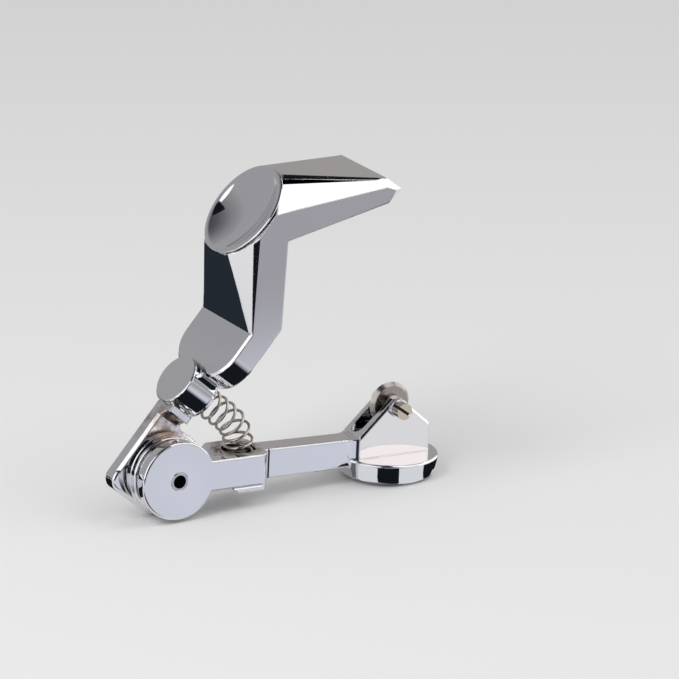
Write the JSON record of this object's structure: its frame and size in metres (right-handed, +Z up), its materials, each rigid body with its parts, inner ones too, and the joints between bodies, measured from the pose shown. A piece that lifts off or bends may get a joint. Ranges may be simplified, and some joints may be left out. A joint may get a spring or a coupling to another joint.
{
  "type": "glass tube cutter",
  "caption": "Hand-held pinch cutter for glass tubing: a sprung hook-shaped jaw closes a V over a small cutting wheel.",
  "frame": {"origin": "on the hinge axis, in the front face of the lower arm's hinge eye", "axes": "+X from the hinge towards the cutting wheel, +Y along the hinge axis from the front eye to the rear washer, +Z up as the tool stands on its hinge eye and foot"},
  "size_m": [0.0898, 0.0258, 0.0845],
  "materials": {
    "chrome_casting": "bright chrome plate with fine wiping scratches",
    "pin_steel": "turned, with rings",
    "nickel_steel": "warm nickel plate",
    "spring_steel": "drawn wire",
    "tool_steel": "ground edge",
    "bush_brass": "turned"
  },
  "bodies": {
    "arm": {"lower_arm": "chrome_casting", "hinge_pin": "pin_steel", "thrust_washer": "chrome_casting", "rear_washer": "pin_steel", "spring_screw": "pin_steel", "wheel_axle": "nickel_steel", "axle_collar": "nickel_steel", "axle_clip": "spring_steel", "wheel_shims": "pin_steel", "spring": "spring_steel"},
    "jaw": {"lever": "chrome_casting", "thumb_rest": "chrome_casting", "spring_seat": "pin_steel"},
    "wheel": {"cutting_wheel": "tool_steel", "wheel_bush": "bush_brass"}
  },
  "joints": [
    {"name": "jaw_hinge", "type": "hinge", "parent": "arm", "child": "jaw", "pos_m": [0, 0.007, 0], "axis": [0, 1, 0], "range_deg": [0, 51], "stiffness_Nm_per_rad": 0.3, "springref_deg": -28.65, "deforming": ["spring"]},
    {"name": "wheel_spin", "type": "hinge", "parent": "arm", "child": "wheel", "pos_m": [0.06289, 0.007, 0.00726], "axis": [0, 1, 0], "continuous": true}
  ]
}
